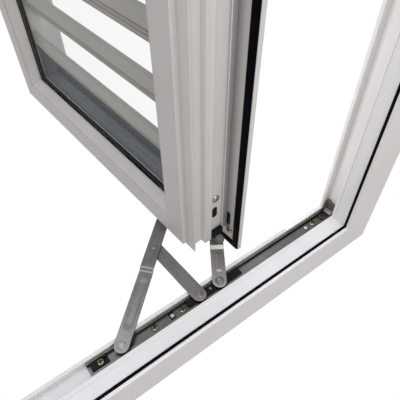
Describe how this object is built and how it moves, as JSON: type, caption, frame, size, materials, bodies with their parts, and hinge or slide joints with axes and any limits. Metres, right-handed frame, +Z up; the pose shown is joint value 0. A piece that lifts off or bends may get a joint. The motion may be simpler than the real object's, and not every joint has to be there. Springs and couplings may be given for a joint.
{
  "type": "casement window with friction stays",
  "caption": "Outward-opening aluminium casement window: mitred frame, glazed sash with louvre bars, and friction stays that swing and slide the sash.",
  "frame": {"origin": "centre of the frame's underside, which sits on the sill", "axes": "+Z up; +X along the sill from the lock jamb to the hinge jamb; +Y outdoors"},
  "size_m": [0.62, 0.6325, 0.8],
  "materials": {
    "white_aluminium": "smooth warm-white powder coat on extruded aluminium",
    "stainless": "lengthwise brushed stainless steel",
    "black_rubber": "matt black EPDM seal",
    "black_plastic": "matt black nylon",
    "grey_plastic": "matt grey nylon",
    "brass_plated": "yellow-passivated cross-recess screws",
    "cast_zinc": "plain cast zinc",
    "clear_glass": "clear float glass",
    "tray_grey": "dark blue-grey coated aluminium tray",
    "mill_aluminium": "mill-finish extruded aluminium cleats",
    "handle_silver": "satin silver handle"
  },
  "bodies": {
    "root": {"frame_sill": "white_aluminium", "frame_head": "white_aluminium", "frame_hinge_jamb": "white_aluminium", "frame_lock_jamb": "white_aluminium", "frame_corner_cleats": "mill_aluminium", "frame_gasket": "black_rubber", "lock_keepers": "cast_zinc", "lower_track": "stainless", "upper_track": "stainless", "track_end_blocks": "black_plastic", "track_end_caps": "stainless", "track_screws": "brass_plated", "arm_pivot_studs": "stainless"},
    "long_arms": {"lower_long_arm": "stainless", "upper_long_arm": "stainless", "middle_rivets": "stainless"},
    "sliders": {"lower_slider": "black_plastic", "upper_slider": "black_plastic", "slider_studs": "stainless"},
    "mid_arms": {"lower_mid_arm": "stainless", "upper_mid_arm": "stainless"},
    "short_arms": {"lower_short_arm": "stainless", "upper_short_arm": "stainless"},
    "sash": {"sash_bottom_rail": "white_aluminium", "sash_top_rail": "white_aluminium", "sash_hinge_stile": "white_aluminium", "sash_lock_stile": "white_aluminium", "sash_corner_cleats": "mill_aluminium", "sash_flange_gasket": "black_rubber", "bottom_bead": "white_aluminium", "top_bead": "white_aluminium", "hinge_bead": "white_aluminium", "lock_bead": "white_aluminium", "glass_pane": "clear_glass", "indoor_glazing_gasket": "black_rubber", "outdoor_glazing_gasket": "black_rubber", "setting_blocks": "black_plastic", "drip_tray": "tray_grey", "lower_sash_bar": "stainless", "upper_sash_bar": "stainless", "sash_bar_rivets": "stainless", "sash_bar_tips": "grey_plastic", "corner_blocks": "black_plastic", "stile_screws": "cast_zinc", "handle_base": "handle_silver", "lock_case": "cast_zinc", "louvre_bar_1": "white_aluminium", "louvre_bar_2": "white_aluminium", "louvre_bar_3": "white_aluminium", "louvre_bar_4": "white_aluminium", "louvre_bar_5": "white_aluminium", "louvre_bar_6": "white_aluminium", "louvre_bar_7": "white_aluminium"},
    "handle": {"handle_lever": "handle_silver", "handle_spindle": "cast_zinc"},
    "lock": {"lock_strip": "stainless", "lock_pins": "cast_zinc"}
  },
  "joints": [
    {"name": "long_arm_swing", "type": "hinge", "parent": "root", "child": "long_arms", "pos_m": [-0.0948, 0.0155, 0], "axis": [0, 0, 1], "range_deg": [-42.3, 0]},
    {"name": "slider_travel", "type": "slide", "parent": "root", "child": "sliders", "axis": [1, 0, 0], "range_m": [0, 0.1305]},
    {"name": "mid_arm_swing", "type": "hinge", "parent": "sliders", "child": "mid_arms", "pos_m": [0.0193, 0.0155, 0], "axis": [0, 0, 1], "range_deg": [0, 86.5]},
    {"name": "short_arm_swing", "type": "hinge", "parent": "sliders", "child": "short_arms", "pos_m": [0.0527, 0.0155, 0], "axis": [0, 0, 1], "range_deg": [-56.2, 0]},
    {"name": "sash_swing", "type": "hinge", "parent": "long_arms", "child": "sash", "pos_m": [0.08419, 0.17837, 0], "axis": [0, 0, 1], "range_deg": [0, 128.6]},
    {"name": "handle_turn", "type": "hinge", "parent": "sash", "child": "handle", "pos_m": [0.01063, 0.5465, 0.4], "axis": [0.9978, 0.0663, 0], "range_deg": [0, 90]},
    {"name": "lock_slide", "type": "slide", "parent": "sash", "child": "lock", "axis": [0, 0, -1], "range_m": [0, 0.0181]}
  ],
  "couplings": [
    {"joint": "slider_travel", "follows": "long_arm_swing", "m_per_rad": -0.17663},
    {"joint": "mid_arm_swing", "follows": "long_arm_swing", "ratio": -2.0435},
    {"joint": "short_arm_swing", "follows": "long_arm_swing", "ratio": 1.3263},
    {"joint": "sash_swing", "follows": "long_arm_swing", "ratio": -3.0378},
    {"joint": "lock_slide", "follows": "handle_turn", "m_per_rad": 0.011459}
  ]
}
